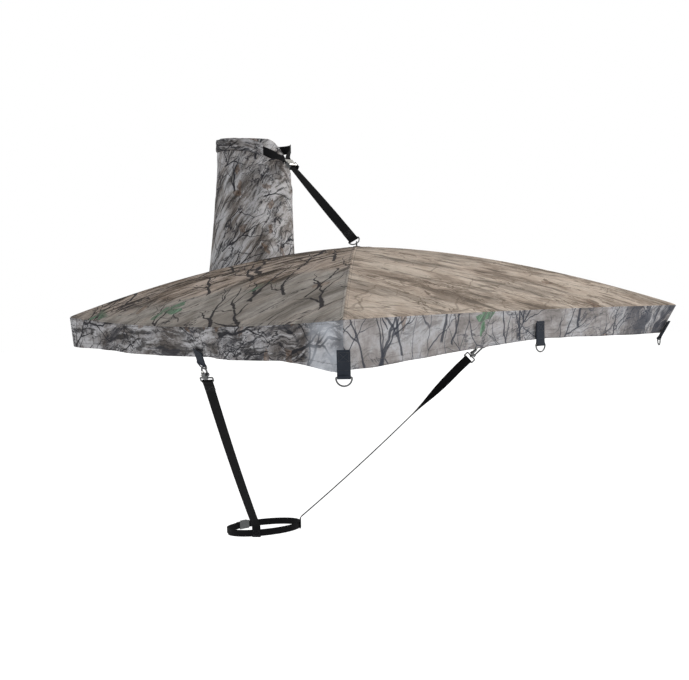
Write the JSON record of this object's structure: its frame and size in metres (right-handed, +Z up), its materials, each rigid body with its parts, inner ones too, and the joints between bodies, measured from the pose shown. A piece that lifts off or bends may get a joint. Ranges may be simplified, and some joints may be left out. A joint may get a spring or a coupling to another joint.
{
  "type": "tree stand canopy",
  "caption": "Camouflage fabric roof with a drop valance, strapped round a tree trunk above a stand and spread by four poles.",
  "frame": {"origin": "on the tree trunk's axis, level with the roof's rim", "axes": "+Z up along the trunk, -Y forward from the trunk to the roof's front edge, +X to the right seen from the front"},
  "size_m": [1.0762, 1.203, 1.1742],
  "materials": {
    "roof_cloth": "woven polyester with a bark and leaf camouflage print, matte",
    "valance_cloth": "woven polyester with a grayer bark and leaf camouflage print, matte",
    "hook_and_loop": "hook and loop closure tape, dull",
    "seam_tape": "folded woven seam tape, matte",
    "black_webbing": "woven black webbing, matte",
    "charcoal_webbing": "woven charcoal webbing, matte",
    "fibreglass": "black fibreglass rod, satin",
    "black_plastic": "moulded black plastic, satin",
    "dark_nickel": "dark nickel plated steel, satin",
    "zinc_plate": "bright zinc plated steel, satin"
  },
  "bodies": {
    "canopy": {"apex_patch": "roof_cloth", "apex_ring": "dark_nickel", "belt": "black_webbing", "belt_buckle_body": "dark_nickel", "belt_buckle_pin": "dark_nickel", "collar_buckle_body": "dark_nickel", "collar_buckle_pin": "dark_nickel", "collar_strap": "black_webbing", "corner_pocket_front_left": "black_webbing", "corner_pocket_front_right": "black_webbing", "corner_pocket_rear_left": "black_webbing", "corner_pocket_rear_right": "black_webbing", "eye_bolt": "dark_nickel", "eye_washer": "dark_nickel", "frame_hub": "black_plastic", "gore_front": "roof_cloth", "gore_left": "roof_cloth", "gore_rear": "roof_cloth", "gore_right": "roof_cloth", "hook_left_eye": "dark_nickel", "hook_right_eye": "dark_nickel", "pole_front_left": "fibreglass", "pole_front_right": "fibreglass", "pole_rear_left": "fibreglass", "pole_rear_right": "fibreglass", "rear_closure": "hook_and_loop", "ridge_tape_front_left": "seam_tape", "ridge_tape_front_right": "seam_tape", "ridge_tape_rear_left": "seam_tape", "ridge_tape_rear_right": "seam_tape", "ring_left": "dark_nickel", "ring_right": "dark_nickel", "sleeve_casing": "roof_cloth", "sleeve_closure": "hook_and_loop", "strap_left": "black_webbing", "strap_right": "black_webbing", "suspension_strap": "black_webbing", "tab_front_left": "charcoal_webbing", "tab_front_middle": "charcoal_webbing", "tab_front_right": "charcoal_webbing", "tab_left": "charcoal_webbing", "tab_right": "charcoal_webbing", "trunk_sleeve": "roof_cloth", "valance_front": "valance_cloth", "valance_left": "valance_cloth", "valance_rear_left": "valance_cloth", "valance_rear_right": "valance_cloth", "valance_right": "valance_cloth"},
    "ring_front_left": {"ring_front_left": "dark_nickel"},
    "ring_front_middle": {"ring_front_middle": "dark_nickel"},
    "ring_front_right": {"ring_front_right": "dark_nickel"},
    "hook_left": {"hook_left_body": "dark_nickel"},
    "hook_right": {"hook_right_body": "dark_nickel"},
    "gate_left": {"hook_left_gate": "dark_nickel"},
    "gate_right": {"hook_right_gate": "dark_nickel"},
    "collar_lever": {"collar_buckle_lever": "zinc_plate"},
    "belt_lever": {"belt_buckle_lever": "zinc_plate"}
  },
  "joints": [
    {"name": "ring_front_left_swing", "type": "hinge", "parent": "canopy", "child": "ring_front_left", "pos_m": [-0.53318, -1.05818, -0.1045], "axis": [0.7071, -0.7071, 0], "range_deg": [-148, 95]},
    {"name": "ring_front_middle_swing", "type": "hinge", "parent": "canopy", "child": "ring_front_middle", "pos_m": [0.01, -1.06, -0.0715], "axis": [1, 0, 0], "range_deg": [-148, 90]},
    {"name": "ring_front_right_swing", "type": "hinge", "parent": "canopy", "child": "ring_front_right", "pos_m": [0.50093, -1.02593, -0.08241], "axis": [0.7071, 0.7071, 0], "range_deg": [-115, 90]},
    {"name": "hook_left_swivel", "type": "hinge", "parent": "canopy", "child": "hook_left", "pos_m": [-0.44806, -0.43713, -0.14088], "axis": [-0.5262, -0.5145, 0.677], "range_deg": [-25, 25]},
    {"name": "hook_right_swivel", "type": "hinge", "parent": "canopy", "child": "hook_right", "pos_m": [0.44806, -0.43713, -0.14088], "axis": [0.5262, -0.5145, 0.677], "range_deg": [-25, 25]},
    {"name": "gate_left_slide", "type": "slide", "parent": "hook_left", "child": "gate_left", "axis": [0.5262, 0.5145, -0.677], "range_m": [0, 0.007], "stiffness_N_per_m": 300, "springref_m": -0.005},
    {"name": "gate_right_slide", "type": "slide", "parent": "hook_right", "child": "gate_right", "axis": [-0.5262, 0.5145, -0.677], "range_m": [0, 0.007], "stiffness_N_per_m": 300, "springref_m": -0.005},
    {"name": "collar_lever_lift", "type": "hinge", "parent": "canopy", "child": "collar_lever", "pos_m": [0, -0.19064, 0.41063], "axis": [1, 0, 0], "range_deg": [0, 60], "stiffness_Nm_per_rad": 0.02, "springref_deg": -17.19},
    {"name": "belt_lever_lift", "type": "hinge", "parent": "canopy", "child": "belt_lever", "pos_m": [0, 0.1136, -0.65484], "axis": [0, 0, -1], "range_deg": [0, 60], "stiffness_Nm_per_rad": 0.02, "springref_deg": -17.19}
  ]
}
